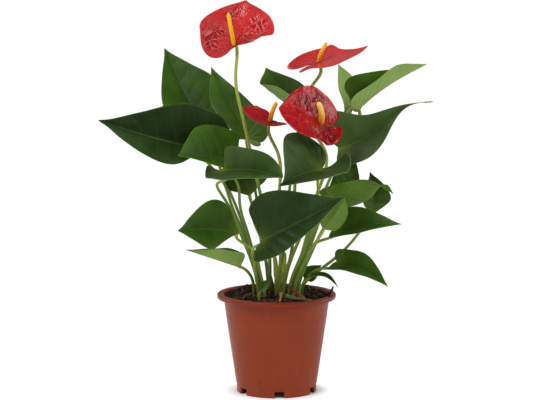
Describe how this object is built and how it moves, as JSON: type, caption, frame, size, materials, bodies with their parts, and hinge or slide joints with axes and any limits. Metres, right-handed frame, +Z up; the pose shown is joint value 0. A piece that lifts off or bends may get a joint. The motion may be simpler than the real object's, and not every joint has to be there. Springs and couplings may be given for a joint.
{
  "type": "potted anthurium",
  "caption": "Flamingo flower plant with glossy heart-shaped leaves and red spathes with yellow spadices, growing in a plain round terracotta-coloured nursery pot.",
  "frame": {"origin": "middle of the pot's underside, on the surface that it stands on", "axes": "+X to the right in the front view, +Y away from the front, +Z up from the pot's base to the top bloom"},
  "size_m": [0.3313, 0.202, 0.396],
  "materials": {
    "terracotta_plastic": "thin terracotta-coloured moulded plastic, semi-gloss",
    "potting_soil": "damp dark peat compost with fibres",
    "sheathed_stem": "light olive sheathed shoots",
    "dry_sheath": "dry reddish sheaths lying on the soil",
    "leaf_green": "glossy dark green leaf with paler veins and underside",
    "leaf_stalk": "smooth green leaf stalk with a yellow-green joint under the blade",
    "young_leaf_green": "young leaf, fresh green to purple green",
    "coral_spathe": "glossy coral red puckered spathe",
    "crimson_spathe": "glossy deep crimson puckered spathe",
    "yellow_spadix": "yellow spadix of tiny florets",
    "bloom_stalk": "smooth green to olive brown bloom stalk"
  },
  "bodies": {
    "root": {"pot": "terracotta_plastic", "soil": "potting_soil", "crown": "sheathed_stem", "dry_sheath_left": "dry_sheath", "dry_sheath_right": "dry_sheath", "leaf_01_blade": "leaf_green", "leaf_01_stalk": "leaf_stalk", "leaf_02_blade": "leaf_green", "leaf_02_stalk": "leaf_stalk", "leaf_03_blade": "leaf_green", "leaf_03_stalk": "leaf_stalk", "leaf_04_blade": "leaf_green", "leaf_04_stalk": "leaf_stalk", "leaf_05_blade": "leaf_green", "leaf_05_stalk": "leaf_stalk", "leaf_06_blade": "leaf_green", "leaf_06_stalk": "leaf_stalk", "leaf_07_blade": "leaf_green", "leaf_07_stalk": "leaf_stalk", "leaf_08_blade": "leaf_green", "leaf_08_stalk": "leaf_stalk", "leaf_09_blade": "leaf_green", "leaf_09_stalk": "leaf_stalk", "leaf_10_blade": "leaf_green", "leaf_10_stalk": "leaf_stalk", "leaf_11_blade": "leaf_green", "leaf_11_stalk": "leaf_stalk", "leaf_12_blade": "leaf_green", "leaf_12_stalk": "leaf_stalk", "leaf_13_blade": "leaf_green", "leaf_13_stalk": "leaf_stalk", "leaf_14_blade": "leaf_green", "leaf_14_stalk": "leaf_stalk", "leaf_15_blade": "leaf_green", "leaf_15_stalk": "leaf_stalk", "leaf_16_blade": "leaf_green", "leaf_16_stalk": "leaf_stalk", "leaf_17_blade": "leaf_green", "leaf_17_stalk": "leaf_stalk", "leaf_18_blade": "leaf_green", "leaf_18_stalk": "leaf_stalk", "leaf_19_blade": "leaf_green", "leaf_19_stalk": "leaf_stalk", "leaf_20_blade": "leaf_green", "leaf_20_stalk": "leaf_stalk", "young_leaf_1": "young_leaf_green", "young_leaf_2": "young_leaf_green", "young_leaf_3": "young_leaf_green", "bloom_1_spathe": "coral_spathe", "bloom_1_spadix": "yellow_spadix", "bloom_1_scape": "bloom_stalk", "bloom_2_spathe": "coral_spathe", "bloom_2_spadix": "yellow_spadix", "bloom_2_scape": "bloom_stalk", "bloom_3_spathe": "crimson_spathe", "bloom_3_spadix": "yellow_spadix", "bloom_3_scape": "bloom_stalk", "bloom_4_spathe": "crimson_spathe", "bloom_4_spadix": "yellow_spadix", "bloom_4_scape": "bloom_stalk"}
  },
  "joints": []
}
